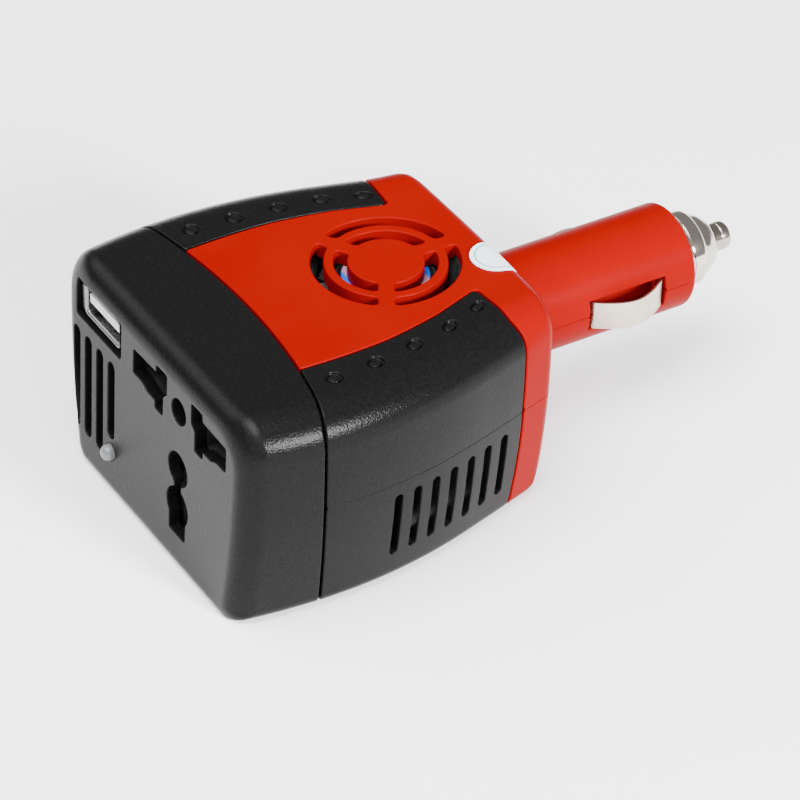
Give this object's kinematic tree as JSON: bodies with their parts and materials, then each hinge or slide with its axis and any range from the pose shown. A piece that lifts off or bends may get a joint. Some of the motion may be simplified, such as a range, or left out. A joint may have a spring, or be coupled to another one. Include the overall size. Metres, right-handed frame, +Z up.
{
  "type": "car power inverter",
  "caption": "Palm-sized case with a 12 V lighter plug as its tail, fan grille on top, mains socket, USB socket and vents on its front face.",
  "frame": {"origin": "centre of the base rectangle, on the surface that the case stands on", "axes": "+Z up out of the fan grille, +Y along the lighter plug towards its tip, -Y out of the mains socket face"},
  "size_m": [0.0738, 0.1286, 0.0453],
  "materials": {
    "black_plastic": "fine spark-eroded grain",
    "red_plastic": "smooth semi-gloss moulding",
    "nickel_strip": "bright nickel plate with soft brushing",
    "nickel_turned": "bright nickel plate with turning marks",
    "contact_brass": "plain stamped brass",
    "usb_steel": "plated sheet steel",
    "white_plastic": "satin",
    "led_lens": "frosted clear resin",
    "socket_insulator": "matt",
    "fibre": "pressed fibre",
    "fuse_glass": "clear tube between plated ferrules",
    "spring_steel": "drawn wire",
    "fan_plastic": "satin",
    "silver_label": "metallised film",
    "board_laminate": "solder mask",
    "ferrite": "ground ferrite",
    "winding_tape": "polyester tape",
    "capacitor_sleeve": "shrink sleeve",
    "heatsink_aluminium": "extruded",
    "transistor_resin": "moulded resin",
    "lead_black": "wire insulation",
    "lead_red": "wire insulation",
    "screw_steel": "zinc plate",
    "paper_label": "smooth coated paper with a plain pale blue ring"
  },
  "bodies": {
    "root": {"front_cap": "black_plastic", "top_shell": "red_plastic", "bottom_shell": "red_plastic", "grip_upper_left": "black_plastic", "grip_lower_left": "black_plastic", "grip_upper_right": "black_plastic", "grip_lower_right": "black_plastic", "socket_block": "socket_insulator", "contact_live": "contact_brass", "contact_neutral": "contact_brass", "contact_earth": "contact_brass", "usb_shell": "usb_steel", "usb_tongue": "white_plastic", "status_led": "led_lens", "fuse_spring": "spring_steel", "fuse_carrier": "socket_insulator", "rear_contact": "contact_brass", "fan_frame": "fan_plastic", "circuit_board": "board_laminate", "transformer_core": "ferrite", "transformer_winding": "winding_tape", "input_capacitor_left": "capacitor_sleeve", "input_capacitor_right": "capacitor_sleeve", "output_capacitor": "capacitor_sleeve", "heatsink": "heatsink_aluminium", "transistor_left": "transistor_resin", "transistor_right": "transistor_resin", "supply_lead_left": "lead_black", "supply_lead_right": "lead_red", "case_screw_1": "screw_steel", "case_screw_2": "screw_steel", "case_screw_3": "screw_steel", "case_screw_4": "screw_steel", "inspection_sticker": "paper_label"},
    "fan": {"fan_rotor": "fan_plastic", "fan_hub_label": "silver_label"},
    "cap_carrier": {"insulating_washer": "fibre"},
    "end_cap": {"end_cap": "nickel_turned"},
    "tip": {"tip_contact": "nickel_turned", "fuse": "fuse_glass"},
    "contact_left": {"side_contact_left": "nickel_strip"},
    "contact_right": {"side_contact_right": "nickel_strip"}
  },
  "joints": [
    {"name": "fan_spin", "type": "hinge", "parent": "root", "child": "fan", "pos_m": [0, -0.01266, 0.038], "axis": [0, 0, 1], "continuous": true},
    {"name": "cap_travel", "type": "slide", "parent": "root", "child": "cap_carrier", "axis": [0, 1, 0], "range_m": [0, 0.005], "deforming": ["fuse_spring"]},
    {"name": "cap_turn", "type": "hinge", "parent": "cap_carrier", "child": "end_cap", "pos_m": [0, 0.05284, 0.0248], "axis": [0, 1, 0], "range_deg": [0, 1800]},
    {"name": "tip_press", "type": "slide", "parent": "cap_carrier", "child": "tip", "axis": [0, 1, 0], "range_m": [-0.003, 0], "stiffness_N_per_m": 600, "deforming": ["fuse_spring"]},
    {"name": "contact_left_press", "type": "slide", "parent": "root", "child": "contact_left", "axis": [-1, 0, 0], "range_m": [-0.0016, 0], "stiffness_N_per_m": 1500},
    {"name": "contact_right_press", "type": "slide", "parent": "root", "child": "contact_right", "axis": [1, 0, 0], "range_m": [-0.0016, 0], "stiffness_N_per_m": 1500}
  ],
  "couplings": [
    {"joint": "cap_turn", "follows": "cap_travel", "rad_per_m": 6283.2}
  ]
}
